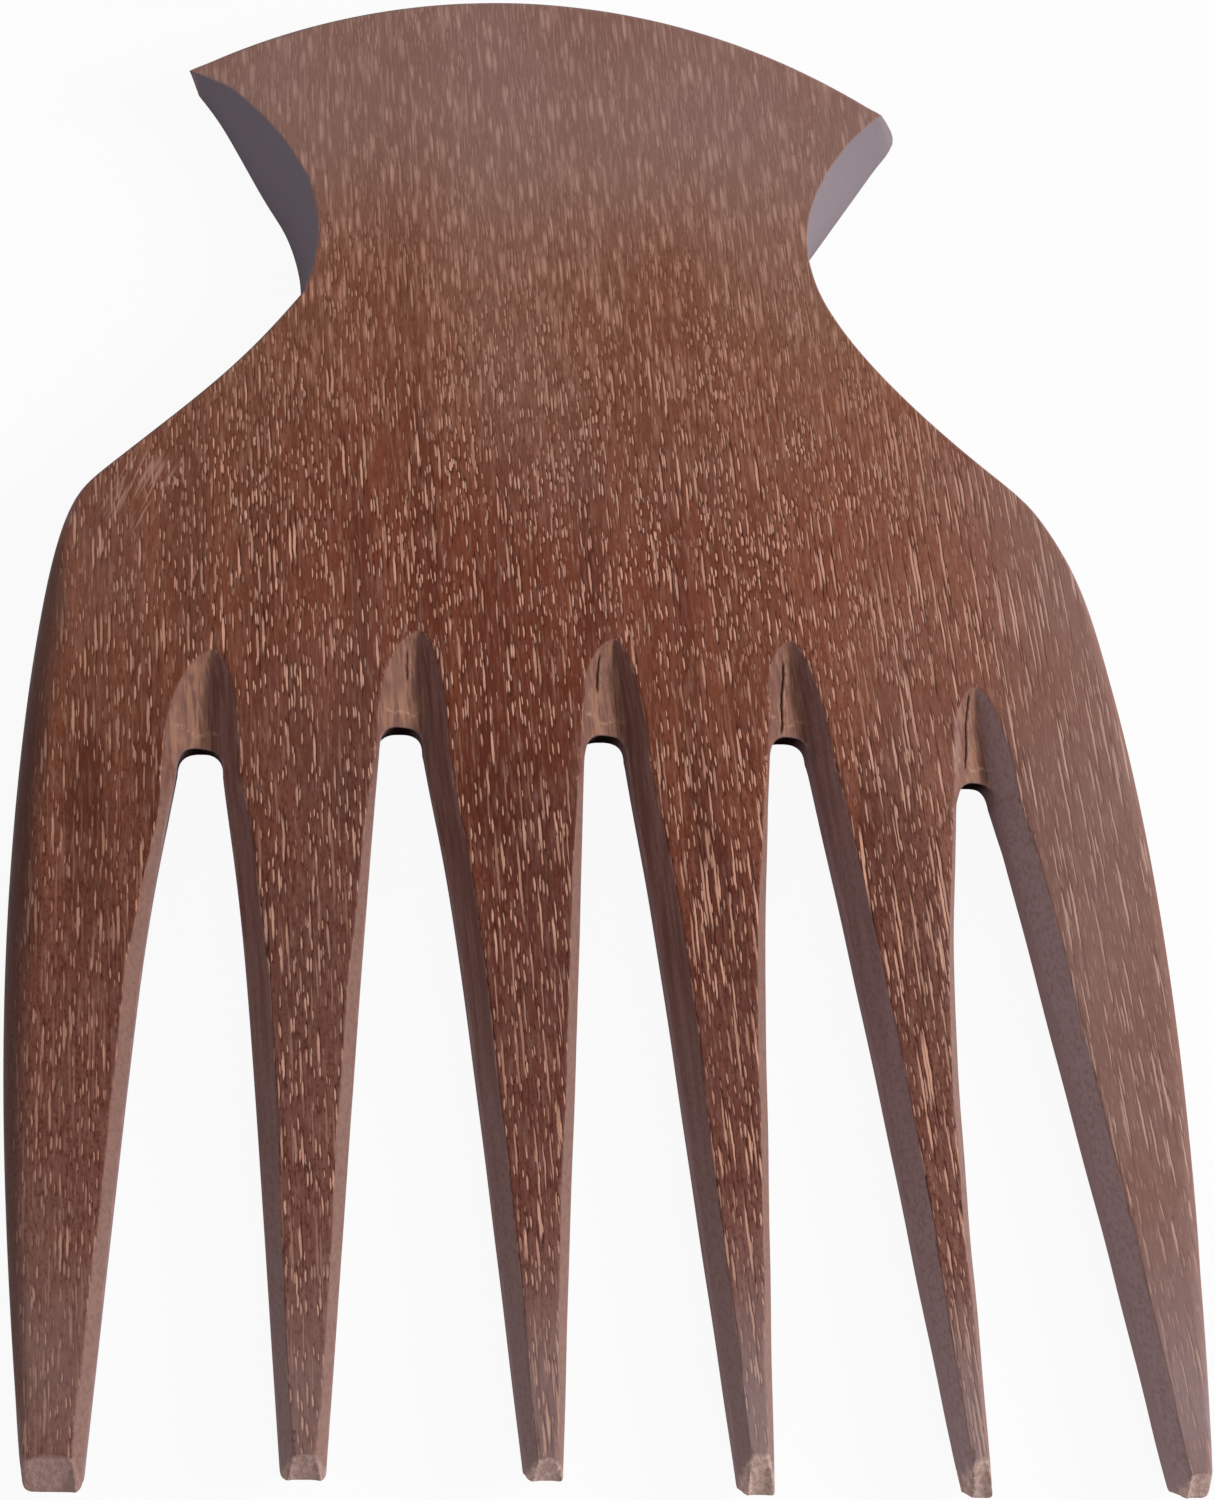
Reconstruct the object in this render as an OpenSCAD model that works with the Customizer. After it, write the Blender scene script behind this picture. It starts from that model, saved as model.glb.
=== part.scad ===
// Wooden hair pick with a fanned set of tines, a palm-held body and a flared crown.
// The board lies flat: X runs across it, Y from the tine tips to the crown, Z out of its front face.
// The whole pick is carved from one board. Each node below is a region of that board.

/* [Board] */
// Length from the longest tine tip to the top of the crown
pick_len = 150; // [132:1:180]
// Width across the two outer tines
pick_w = 121; // [114:0.2:136]
// Thickness of the board
board_t = 8.5; // [7:0.1:11]

/* [Crown] */
// Width of the crown between its two corners
crown_w = 73; // [66:0.2:78]
// Radius of the crown's top edge
crown_r = 71; // [60:0.5:90]
// Radius of the hollow carved under the left corner
left_scoop_r = 18.2; // [17:0.1:20]
// Radius of the hollow carved under the right corner
right_scoop_r = 19; // [18:0.1:20.5]
// How far the axis of each hollow leans outwards through the board
scoop_flare = 2.5; // [1:0.1:3.5]
// How far the axis of each hollow leans towards the tines through the board
scoop_drop = 1; // [0:0.1:2]

/* [Waist and shoulders] */
// Width of the waist on the front face
waist_w = 50.2; // [46:0.2:54]
// Distance from the top of the crown down to the narrowest place of the left hollow
left_waist_drop = 27.5; // [26.5:0.1:29]
// Distance from the top of the crown down to the narrowest place of the right hollow
right_waist_drop = 24.8; // [23.5:0.1:25.2]
// Distance from the top of the crown down to the foot of the left hollow
left_foot_drop = 32.3; // [31:0.1:33.5]
// Distance from the top of the crown down to the foot of the right hollow
right_foot_drop = 25.4; // [25.2:0.1:27]
// Width across the shoulders
shoulder_w = 96.4; // [90:0.2:102]
// Distance from the top of the crown down to the shoulders
shoulder_drop = 52; // [49:0.1:55]

/* [Slots and tines] */
// Distance from the top of the crown down to the highest slot end
palm_len = 74.8; // [70:0.1:80]
// Width of a slot at its round end
slot_w = 4.5; // [3.6:0.1:5.2]
// Width of a middle tine at its tip
tip_w = 3.3; // [2.8:0.1:4.2]
// Length of the bevel on the end of a tine
tip_bevel_len = 3.6; // [2:0.1:5]
// Depth of the bevel on the end of a tine
tip_bevel_d = 3; // [1.5:0.1:3.2]

/* [Carved edges] */
// Width at the root of the chamfer along a tine's left edge
left_chamfer_w = 2.5; // [1.6:0.1:3]
// Width at the root of the chamfer along a tine's right edge
right_chamfer_w = 1.5; // [1:0.1:2]
// Width of both chamfers at the tip
tip_chamfer_w = 0.9; // [0.6:0.1:1.1]
// Depth of the chamfers at the root
chamfer_d = 2.9; // [1.5:0.1:3.2]
// How far the outer edge of the leftmost tine is rounded
left_round = 3.2; // [1:0.1:4]
// How far the outer edge of the rightmost tine is rounded
right_round = 1.6; // [1:0.1:4]
// Length of the pointed notch above a slot on the front
notch_len = 9.7; // [7:0.1:12]
// Depth of that notch where it meets the slot
notch_d = 3; // [1.5:0.1:3.2]
// Length of the notch above a slot on the back
back_notch_len = 4.6; // [3.5:0.1:6.5]
// Depth of the back's notch where it meets the slot
back_notch_d = 1.4; // [0.8:0.1:2]

/* [Hidden] */
face_color = [0.45, 0.27, 0.22];
crown_color = [0.53, 0.37, 0.32];
tine_color = [0.41, 0.24, 0.2];

overrun = 2;
round_steps = 4;
round_play = 0.15;
round_from = 1;
round_mid = 3;
reach = 2 * pick_len;
curve_steps = 6;
crown_steps = 24;

// The outline was cut by eye, so each part of it sits a little off the middle line.
// Places across the board are shares of its width, and places along it shares of its length.
crown_mid_share = -0.0835;
crown_peak_share = -0.086;
waist_mid_share = -0.067;
shoulder_mid_share = -0.047;

// From the foot of each hollow to the shoulder: how far across and how far down
left_neck_shares = [[0.195, 0.25], [0.445, 0.51], [0.755, 0.78]];
right_neck_shares = [[0.03, 0.1], [0.085, 0.195], [0.225, 0.37], [0.48, 0.59], [0.72, 0.77], [0.92, 0.9]];

// From the shoulder to the tips: width as a share of half the board's, and how far down
left_side_shares = [[0.93, 0.025], [0.971, 0.12], [0.993, 0.29], [1, 0.45], [0.99, 0.645], [0.954, 0.865], [0.925, 1]];
right_side_shares = [[0.766, 0.054], [0.821, 0.148], [0.896, 0.33], [0.956, 0.563], [0.994, 0.837], [1, 1]];

// Slot ends: places across the board, how much lower than the highest, and where each notch points
slot_x_shares = [-0.351, -0.1875, -0.018, 0.137, 0.298];
slot_low_shares = [0.0485, 0.0095, 0.0085, 0, 0.0515];
notch_lean_shares = [0.01, 0.26, 0.07, -0.18, -0.42];

// How far the sides of a notch swell outwards, in slot widths, and how far up it
notch_bulge_share = 0.25;
notch_bulge_place_share = 0.62;

// How far each slot's left and right sides bow outwards a third of the way down, in slot widths
slot_bow_shares = [[0.19, 0.155], [0.02, 0.18], [-0.05, 0.08], [0.05, 0.06], [0.19, 0.03]];
slot_bow_place_share = 0.3;

// Tine tips: places across the board, widths, and how much shorter than the longest
tip_x_shares = [-0.441, -0.2445, -0.0515, 0.1225, 0.307, 0.491];
tip_w_shares = [1.73, 1.27, 1, 0.97, 0.67, 1.05];
tip_short_shares = [0, 0.009, 0.0098, 0.002, 0.0013, 0.0025];

top_y = pick_len / 2;
tip_y = -pick_len / 2;
waist_x = waist_mid_share * pick_w;
shoulder_y = top_y - shoulder_drop;
slot_count = len(slot_x_shares);
tine_count = slot_count + 1;

function mix(a, b, s) = a + (b - a) * s;

// A smooth curve through a list of points, which starts and ends on the list's own ends
function curve_point(a, b, c, d, t) =
  (2 * b + (c - a) * t + (2 * a - 5 * b + 4 * c - d) * t * t + (3 * b - a - 3 * c + d) * t * t * t) / 2;
function curve(points) =
  let (last = len(points) - 1)
  concat(
    [for (i = [0 : last - 1])
      let (before = i == 0 ? 2 * points[0] - points[1] : points[i - 1])
      let (after = i == last - 1 ? 2 * points[last] - points[last - 1] : points[i + 2])
      for (k = [0 : curve_steps - 1])
        curve_point(before, points[i], points[i + 1], after, k / curve_steps)],
    [points[last]]
  );

// Each hollow is cut by a cylinder whose axis leans, so on a face its edge is an ellipse.
// side is -1 for the left hollow and 1 for the right one.
scoop_lean = norm([scoop_flare, scoop_drop]);
scoop_stretch = norm([scoop_lean, board_t]) / board_t;
function lean_dir(side) = [side * scoop_flare, -scoop_drop] / scoop_lean;
function scoop_r(side) = side < 0 ? left_scoop_r : right_scoop_r;
function waist_y(side) = top_y - (side < 0 ? left_waist_drop : right_waist_drop);
function foot_y(side) = top_y - (side < 0 ? left_foot_drop : right_foot_drop);
function scoop_half_w(side) =
  scoop_r(side) * norm([lean_dir(side).x * scoop_stretch, lean_dir(side).y]);
function scoop_centre(side) =
  [waist_x + side * (waist_w / 2 + scoop_half_w(side)), waist_y(side)];
function foot_x(side) =
  let (drop = waist_y(side) - foot_y(side))
  let (u = lean_dir(side))
  let (long_part = 1 / (scoop_stretch * scoop_stretch))
  let (a = u.x * u.x * long_part + u.y * u.y)
  let (b = -2 * drop * u.x * u.y * (long_part - 1))
  let (c = drop * drop * (u.y * u.y * long_part + u.x * u.x) - pow(scoop_r(side), 2))
  scoop_centre(side).x + (-b - side * sqrt(b * b - 4 * a * c)) / (2 * a);

left_foot = [foot_x(-1), foot_y(-1)];
right_foot = [foot_x(1), foot_y(1)];
left_shoulder = [shoulder_mid_share * pick_w - shoulder_w / 2, shoulder_y];
right_shoulder = [shoulder_mid_share * pick_w + shoulder_w / 2, shoulder_y];

function neck_points(foot, shoulder, shares) =
  [for (s = shares) [mix(foot.x, shoulder.x, s.x), mix(foot.y, shoulder.y, s.y)]];
function side_points(side, shares) =
  [for (s = shares) [side * s.x * pick_w / 2, mix(shoulder_y, tip_y, s.y)]];
left_edge = curve(concat(
  [left_foot],
  neck_points(left_foot, left_shoulder, left_neck_shares),
  [left_shoulder],
  side_points(-1, left_side_shares)
));
right_edge = curve(concat(
  [right_foot],
  neck_points(right_foot, right_shoulder, right_neck_shares),
  [right_shoulder],
  side_points(1, right_side_shares)
));

crown_centre = [crown_peak_share * pick_w, top_y - crown_r];
crown_left_x = crown_mid_share * pick_w - crown_w / 2;
crown_right_x = crown_left_x + crown_w;
crown_from = acos((crown_left_x - crown_centre.x) / crown_r);
crown_to = acos((crown_right_x - crown_centre.x) / crown_r);
crown_edge = [for (k = [0 : crown_steps])
  let (turn = mix(crown_from, crown_to, k / crown_steps))
  crown_centre + crown_r * [cos(turn), sin(turn)]];

// Centre of a slot's round end, counted from the left
function slot_end(i) =
  [slot_x_shares[i] * pick_w, top_y - palm_len * (1 + slot_low_shares[i]) - slot_w / 2];
function tine_tip_y(i) = tip_y + tip_short_shares[i] * pick_len;
function tip_edge(i, side) = [tip_x_shares[i] * pick_w + side * tip_w_shares[i] * tip_w / 2, tip_y];
function slot_mouth(i) = (tip_edge(i, 1) + tip_edge(i + 1, -1)) / 2;
function slot_root(i, side) = slot_end(i) + [side * slot_w / 2, 0];
function slot_corner(i, side) = side < 0 ? tip_edge(i, 1) : tip_edge(i + 1, -1);
function beyond(a, b) = b + (b - a) * overrun / norm(b - a);
function slot_side(i, side) =
  let (from = slot_root(i, side))
  let (to = beyond(from, slot_corner(i, side)))
  let (bow = slot_bow_shares[i][(side + 1) / 2] * slot_w)
  curve([from, mix(from, to, slot_bow_place_share) + [side * bow, 0], to]);
function turned_round(points) = [for (k = [len(points) - 1 : -1 : 0]) points[k]];

module slot_shape(i) {
  translate(slot_end(i)) circle(d = slot_w, $fn = 48);
  polygon(concat(slot_side(i, 1), turned_round(slot_side(i, -1))));
}

module board_shape() {
  difference() {
    polygon(concat(crown_edge, right_edge, turned_round(left_edge)));
    for (i = [0 : slot_count - 1]) slot_shape(i);
  }
}

// Everything on the positive side of the plane through p, q and r
module above_plane(p, q, r) {
  along = (q - p) / norm(q - p);
  cross_dir = cross(along, r - p);
  flip = cross_dir.z < 0 ? -1 : 1;
  up = flip * cross_dir / norm(cross_dir);
  across = cross(up, along);
  multmatrix([
    [along.x, across.x, up.x, p.x],
    [along.y, across.y, up.y, p.y],
    [along.z, across.z, up.z, p.z],
    [0, 0, 0, 1]
  ])
    translate([-reach, -reach, 0]) cube([2 * reach, 2 * reach, reach]);
}

// The wood carved away along one slot, seen from the front: a chamfer on each side of the
// slot, which narrows towards the tips, and a notch like a pointed arch above its round end
module slot_carving(i, length, depth) {
  root_w = [right_chamfer_w, left_chamfer_w];
  mid = slot_end(i);
  notch_top = mid + [notch_lean_shares[i] * slot_w, slot_w / 2 + length];
  notch_low = mid + [0, slot_w / 2];
  function root(k) = slot_root(i, 2 * k - 1);
  function corner(k) = slot_corner(i, 2 * k - 1);
  function trace_root(k) = root(k) + [(2 * k - 1) * root_w[k], 0];
  function trace_tip(k) = corner(k) + [(2 * k - 1) * tip_chamfer_w, 0];
  function swell(k) =
    mix(trace_root(k), notch_top, notch_bulge_place_share) + [(2 * k - 1) * notch_bulge_share * slot_w, 0];
  function at(p, z) = [p.x, p.y, z];
  intersection_for(k = [0, 1]) intersection() {
    above_plane(at(trace_root(k), board_t), at(trace_tip(k), board_t), at(root(k), board_t - chamfer_d));
    above_plane(at(trace_root(k), board_t), at(swell(k), board_t), at(notch_low, board_t - depth));
    above_plane(at(swell(k), board_t), at(notch_top, board_t), at(notch_low, board_t - depth));
  }
}

// The rounding of an outer edge follows the circle through three points of that edge, so it
// runs out by itself where the outline turns in towards the shoulder
function circle_centre(a, b, c) =
  let (p = b - a)
  let (q = c - a)
  let (twice_area = 2 * cross(p, q))
  a + [q.y * (p * p) - p.y * (q * q), p.x * (q * q) - q.x * (p * p)] / twice_area;

module outer_round(side) {
  shares = side < 0 ? left_side_shares : right_side_shares;
  points = side_points(side, [shares[round_from], shares[round_mid], shares[len(shares) - 1]]);
  centre = circle_centre(points[0], points[1], points[2]);
  edge_r = norm(points[0] - centre) + round_play;
  r = side < 0 ? left_round : right_round;
  corner = [edge_r - r, board_t - r];
  profile = concat(
    [for (k = [0 : round_steps])
      let (turn = 90 * (1 - k / round_steps))
      corner + r * [cos(turn), sin(turn)]],
    [[edge_r + 2 * board_t, board_t - r], [edge_r + 2 * board_t, board_t + overrun], [edge_r - r, board_t + overrun]]
  );
  for (face = [0, 1])
    translate([centre.x, centre.y, face * board_t])
      mirror([0, 0, face])
        rotate_extrude($fn = 720) polygon(profile);
}

module carvings(first, last) {
  for (i = [max(first, 0) : min(last, slot_count - 1)]) {
    slot_carving(i, notch_len, notch_d);
    translate([0, 0, board_t]) mirror([0, 0, 1]) slot_carving(i, back_notch_len, back_notch_d);
  }
}

// The leaning cut of one hollow, which stops at the line from foot to foot
module scoop(side) {
  lean = side * scoop_flare;
  intersection() {
    translate([scoop_centre(side).x, scoop_centre(side).y, board_t])
      rotate([0, 0, atan2(-scoop_drop, lean)])
        rotate([0, 180 - atan2(scoop_lean, board_t), 0])
          translate([0, 0, -board_t]) cylinder(r = scoop_r(side), h = 3 * board_t, $fn = 96);
    translate([0, 0, -overrun]) linear_extrude(board_t + 2 * overrun) crown_region();
  }
}

// The crown lies above the line through both feet, and the palm below it
foot_line = (right_foot - left_foot) / norm(right_foot - left_foot);
far_left = left_foot - reach * foot_line;
far_right = right_foot + reach * foot_line;

module crown_region() {
  polygon([far_left, far_right, far_right + [0, reach], far_left + [0, reach]]);
}

module palm_region() {
  ends = [for (i = [0 : slot_count - 1]) slot_end(i)];
  difference() {
    polygon(concat(
      [[reach, top_y], [-reach, top_y], [-reach, ends[0].y]],
      ends,
      [[reach, ends[slot_count - 1].y]]
    ));
    crown_region();
  }
}

module tine_region(i) {
  left_end = i == 0 ? [-reach, slot_end(0).y] : slot_end(i - 1);
  right_end = i == tine_count - 1 ? [reach, slot_end(slot_count - 1).y] : slot_end(i);
  left_low = i == 0 ? [-reach, tip_y] : slot_mouth(i - 1);
  right_low = i == tine_count - 1 ? [reach, tip_y] : slot_mouth(i);
  polygon([left_end, right_end, right_low, left_low]);
}

module crown() {
  color(crown_color) difference() {
    linear_extrude(board_t) intersection() {
      board_shape();
      crown_region();
    }
    scoop(-1);
    scoop(1);
  }
}

module palm() {
  color(face_color) difference() {
    linear_extrude(board_t) intersection() {
      board_shape();
      palm_region();
    }
    carvings(0, slot_count - 1);
    outer_round(-1);
    outer_round(1);
  }
}

// The cut that bevels a tine's end on the front
module tip_bevel(i) {
  y = tine_tip_y(i);
  above_plane(
    [tip_edge(i, -1).x, y + tip_bevel_len, board_t],
    [tip_edge(i, 1).x, y + tip_bevel_len, board_t],
    [tip_edge(i, 0).x, y, board_t - tip_bevel_d]
  );
}

module tine(i) {
  color(tine_color) difference() {
    linear_extrude(board_t) intersection() {
      board_shape();
      tine_region(i);
    }
    carvings(i - 1, i);
    if (i == 0) outer_round(-1);
    if (i == tine_count - 1) outer_round(1);
    tip_bevel(i);
    translate([0, 0, board_t]) mirror([0, 0, 1]) tip_bevel(i);
    translate([-reach, tine_tip_y(i) - reach, -overrun]) cube([2 * reach, reach, board_t + 2 * overrun]);
  }
}

crown();
palm();
tine(0);  // tine_1
tine(1);  // tine_2
tine(2);  // tine_3
tine(3);  // tine_4
tine(4);  // tine_5
tine(5);  // tine_6
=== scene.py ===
# Wooden hair pick: one board of open-pored wood with carved slots, notches and hollows.
# Every length below is in millimetres, and turns into metres only where a mesh is made.
import math
import bpy
import numpy as np
from mathutils import Matrix, Vector, noise
from mathutils.geometry import delaunay_2d_cdt


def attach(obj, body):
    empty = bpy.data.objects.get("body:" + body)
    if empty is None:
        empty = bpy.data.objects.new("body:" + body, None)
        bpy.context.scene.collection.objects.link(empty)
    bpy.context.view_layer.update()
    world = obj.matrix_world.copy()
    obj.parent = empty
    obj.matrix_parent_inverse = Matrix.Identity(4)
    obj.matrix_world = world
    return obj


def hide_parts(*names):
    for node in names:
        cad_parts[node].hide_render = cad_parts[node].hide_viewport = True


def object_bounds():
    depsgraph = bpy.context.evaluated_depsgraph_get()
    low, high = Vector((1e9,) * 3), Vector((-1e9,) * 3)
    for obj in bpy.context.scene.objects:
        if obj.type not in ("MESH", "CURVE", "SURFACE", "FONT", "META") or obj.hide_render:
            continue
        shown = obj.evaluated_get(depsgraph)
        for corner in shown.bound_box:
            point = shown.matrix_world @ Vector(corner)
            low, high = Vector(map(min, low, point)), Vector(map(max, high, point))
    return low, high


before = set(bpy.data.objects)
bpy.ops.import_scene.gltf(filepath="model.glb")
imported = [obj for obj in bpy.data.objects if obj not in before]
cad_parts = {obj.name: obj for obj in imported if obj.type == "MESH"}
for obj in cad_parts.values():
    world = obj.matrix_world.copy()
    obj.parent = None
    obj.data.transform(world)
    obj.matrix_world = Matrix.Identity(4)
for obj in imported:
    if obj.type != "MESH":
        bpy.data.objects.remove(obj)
cad_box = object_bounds()

MM = 0.001
NODES = ["crown", "palm"] + [f"tine_{number}" for number in range(1, 7)]

# The board, in the frame's own axes
box_low, box_high = [np.array(corner) / MM for corner in cad_box]
LENGTH = box_high[1] - box_low[1]
WIDTH = box_high[0] - box_low[0]
THICK = box_high[2] - box_low[2]
TOP_Y = LENGTH / 2
TIP_Y = -LENGTH / 2

# Crown, hollows, waist and shoulders
CROWN_W = 73.0
CROWN_R = 71.0
CROWN_MID_SHARE = -0.0835
CROWN_PEAK_SHARE = -0.086
RIGHT_FACE_CORNER_IN = 1.7
RIGHT_BACK_CORNER_OUT = 0.6
LEFT_BACK_CORNER_IN = 0.8
CORNER_BULGE = 0.55
CORNER_BULGE_REACH = 4
LEFT_FOOT = (-34.3, 43.0)
RIGHT_FOOT = (17.3, 49.7)
SHOULDER_W = 96.4
SHOULDER_DROP = 52.0
SHOULDER_MID_SHARE = -0.047

# From the crown's corner to the foot of each hollow: how far across and how far down.
# On the front face first, and then on the back, where the hollow is cut straighter.
LEFT_HOLLOW_SHARES = [
    [0.22, 0.043], [0.4, 0.095], [0.73, 0.26], [0.99, 0.465], [1.09, 0.68], [1.075, 0.84],
]
RIGHT_HOLLOW_SHARES = [[0.225, 0.1], [0.46, 0.215], [0.74, 0.405], [0.96, 0.64], [1.023, 0.82]]
LEFT_BACK_SHARES = [[0.24, 0.16], [0.6, 0.46], [0.84, 0.65], [0.965, 0.83]]
RIGHT_BACK_SHARES = [[0.32, 0.32], [0.66, 0.66]]

# From the foot of each hollow to the shoulder: how far across and how far down
LEFT_NECK_SHARES = [[0.195, 0.25], [0.445, 0.51], [0.755, 0.78]]
RIGHT_NECK_SHARES = [
    [0.03, 0.1], [0.085, 0.195], [0.225, 0.37], [0.48, 0.59], [0.72, 0.77], [0.92, 0.9],
]

# From the shoulder to the tips: width as a share of half the board's, and how far down
LEFT_SIDE_SHARES = [
    [0.93, 0.025], [0.971, 0.12], [0.993, 0.29], [1, 0.45], [0.99, 0.645], [0.954, 0.865], [0.925, 1],
]
RIGHT_SIDE_SHARES = [
    [0.766, 0.054], [0.821, 0.148], [0.896, 0.33], [0.956, 0.563], [0.994, 0.837], [1, 1],
]

# Slots: where their ends are, how square these are, how the sides bow, and where each notch points
PALM_LEN = 74.8
SLOT_W = 4.5
SLOT_END_SQUARE = 2.7
SLOT_X_SHARES = [-0.351, -0.1875, -0.018, 0.137, 0.298]
SLOT_LOW_SHARES = [0.0485, 0.0095, 0.0085, 0, 0.0515]
SLOT_BOW_SHARES = [[0.19, 0.155], [0.02, 0.18], [-0.05, 0.08], [0.05, 0.06], [0.19, 0.03]]
SLOT_BOW_PLACE_SHARE = 0.3
NOTCH_FOOT_SHARES = [0.2, 0.54, 0.53, 0.54, 0.41]
NOTCH_LEAN_SHARES = [0.14, 0.26, 0.05, -0.11, -0.15]

# Cracks in the notches, from each slot's end: slot, across, top, bottom and how open it is
CRACKS = [
    [1, 0.18, 10.3, 6.6, 0.6],
    [2, -1.22, 10.7, 6.2, 0.8],
    [3, -1.08, 10.1, 2.3, 1.0],
    [4, -1.45, 11.6, 3.2, 0.75],
]
CRACK_HALF_W = 0.08
CRACK_D = 0.4

# Torn fibres: how far above each slot's rim they lie, and how far they stand up
BURR_HEIGHT = 1.4
BURR_RISE = 0.09

# Tine tips: places, widths, how much shorter than the longest, and their bevels, which turn away
# beyond each chamfer
TIP_W = 3.3
TIP_X_SHARES = [-0.441, -0.2445, -0.0515, 0.1225, 0.307, 0.491]
TIP_W_SHARES = [1.73, 1.27, 1, 0.97, 0.67, 1.05]
TIP_SHORT_SHARES = [0, 0.009, 0.0098, 0.002, 0.0013, 0.0025]
TIP_BEVEL_LEN = 3.6
TIP_BEVEL_SHARES = [1.08, 0.78, 0.72, 1.25, 1.25, 0.78]
TIP_BEVEL_D = 2.2
TIP_BEVEL_TURN = 1.3
TIP_CORNER_R = [1.0, 0.7, 0.6, 0.7, 0.6, 0.8]

# Chamfers of the slots: their depth at the wall, and the width that sets the slope of the left ones
CHAMFER_D = 2.9
LEFT_SLOPE_W = 1.4

# Widths of the chamfers left (-1) and right (1) of the slots: beside each slot's end, then for all
# slots at three places further down, and at each slot's tips
CHAMFER_PLACES = [0, 0.07, 0.3, 0.65, 1]
TOP_WIDTHS = {-1: [1.6, 0.4, 0.6, 0.4, 0.6], 1: [1.5, 2.3, 1.9, 1.8, 1.7]}
LOWER_WIDTHS = {-1: [0.9, 1.4, 1.3], 1: [2.2, 2.2, 1.7]}
TIP_WIDTHS = {-1: [1.1, 1.1, 0.8, 0.8, 0.5], 1: [1.15, 1.15, 0.9, 0.45, 1.15]}

# Notches above the slots: length, depth, and how far below the slot's end the chamfers take over
FRONT_NOTCH = (9.7, 3.0, 1.5)
BACK_NOTCH = (4.6, 1.4, 8.0)

# A depth that stands for uncut wood, and how far from a slot's end across and up its carving goes
UNCUT = -9.0
SLOT_REACH = (24, 16)

# Small unevenness of the face, of the rough ends, of the notches, of the walls and of the arrises
FACE_WAVE = 0.05
FACE_RIPPLE = 0.02
END_ROUGH = 0.05
NOTCH_ROUGH = 0.07
WALL_RIPPLE = 0.03
ARRIS_WANDER = 0.1

# How far the outline's edges are rounded over
EDGE_R = 0.28
CROWN_EDGE_R = 0.45
LEFT_ROUND = 3.2
RIGHT_ROUND = 1.6

# Spacing of the mesh's points
OUTLINE_STEP = 0.7
OUTLINE_TURN = math.radians(9)
FLAT_STEP = 1.5
NOTCH_STEP = 0.42
BEVEL_STEP = 0.32
RIM_SHARES = [0, 0.03, 0.12, 0.27, 0.48, 0.73, 1]
WALL_SHARES = [0.14, 0.35, 0.5, 0.65, 0.86]
SEAM_STEP = 0.75

# Rows of points beside each kind of crease
ARRIS_OFFSETS = [-0.42, -0.2, -0.07, 0.07, 0.2, 0.42]
VALLEY_OFFSETS = [-0.18, -0.06, 0.06, 0.18]
NOTCH_OFFSETS = [-0.2, -0.07, 0.07, 0.2]
BEVEL_OFFSETS = [-0.22, -0.07, 0.07, 0.22]
CRACK_OFFSETS = [-0.2, -0.08, 0, 0.08, 0.2, 0.34, 0.5]


def mix(a, b, share):
    return a + (b - a) * share


def point(x, y):
    return np.array([x, y], float)


def smooth_share(value, start, end):
    share = np.clip((value - start) / (end - start), 0, 1)
    return share * share * (3 - 2 * share)


def curve(points, steps=10):
    """A smooth curve through a list of points, which starts and ends on the list's own ends."""
    points = [np.array(p, float) for p in points]
    line = [2 * points[0] - points[1]] + points + [2 * points[-1] - points[-2]]
    made = []
    for a, b, c, d in zip(line, line[1:], line[2:], line[3:]):
        for k in range(steps):
            t = k / steps
            made.append((2 * b + (c - a) * t + (2 * a - 5 * b + 4 * c - d) * t * t
                         + (3 * b - a - 3 * c + d) * t ** 3) / 2)
    return np.array(made + [points[-1]])


def resample(points, count=None):
    """Points along a line, closer where it turns. Both ends are kept."""
    points = np.asarray(points, float)
    steps = np.diff(points, axis=0)
    lengths = np.hypot(*steps.T)
    points, steps = points[np.r_[True, lengths > 1e-6]], steps[lengths > 1e-6]
    lengths = lengths[lengths > 1e-6]
    heading = np.unwrap(np.arctan2(steps[:, 1], steps[:, 0]))
    turn = np.abs(np.diff(heading))
    weight = lengths / OUTLINE_STEP
    weight[:-1] += turn / OUTLINE_TURN / 2
    weight[1:] += turn / OUTLINE_TURN / 2
    place = np.r_[0, np.cumsum(weight)]
    count = count or max(2, math.ceil(place[-1]))
    wanted = np.linspace(0, place[-1], count + 1)
    return np.c_[np.interp(wanted, place, points[:, 0]), np.interp(wanted, place, points[:, 1])]


def softened(before, corner, after, radius):
    """A small round corner between two directions, as a list of points."""
    to_before = (before - corner) / np.hypot(*(before - corner))
    to_after = (after - corner) / np.hypot(*(after - corner))
    start, end = corner + to_before * radius, corner + to_after * radius
    shares = np.linspace(0, 1, 6)[:, None]
    return (1 - shares) ** 2 * start + 2 * shares * (1 - shares) * corner + shares ** 2 * end


# Places on the outline
crown_centre = point(CROWN_PEAK_SHARE * WIDTH, TOP_Y - CROWN_R)
crown_left_x = CROWN_MID_SHARE * WIDTH - CROWN_W / 2
crown_right_x = crown_left_x + CROWN_W
left_shoulder = point(SHOULDER_MID_SHARE * WIDTH - SHOULDER_W / 2, TOP_Y - SHOULDER_DROP)
right_shoulder = left_shoulder + point(SHOULDER_W, 0)
left_foot, right_foot = point(*LEFT_FOOT), point(*RIGHT_FOOT)


def crown_arc(from_x, to_x):
    angles = [math.acos((x - crown_centre[0]) / CROWN_R) for x in (from_x, to_x)]
    turns = np.linspace(*angles, 90)
    return crown_centre + CROWN_R * np.c_[np.cos(turns), np.sin(turns)]


def between(start, end, shares):
    return [point(mix(start[0], end[0], s[0]), mix(start[1], end[1], s[1])) for s in shares]


def side_points(side, shares):
    return [point(side * s[0] * WIDTH / 2, mix(left_shoulder[1], TIP_Y, s[1])) for s in shares]


def slot_end(i):
    return point(SLOT_X_SHARES[i] * WIDTH, TOP_Y - PALM_LEN * (1 + SLOT_LOW_SHARES[i]) - SLOT_W / 2)


def tip_y(i):
    return TIP_Y + TIP_SHORT_SHARES[i] * LENGTH


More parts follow.
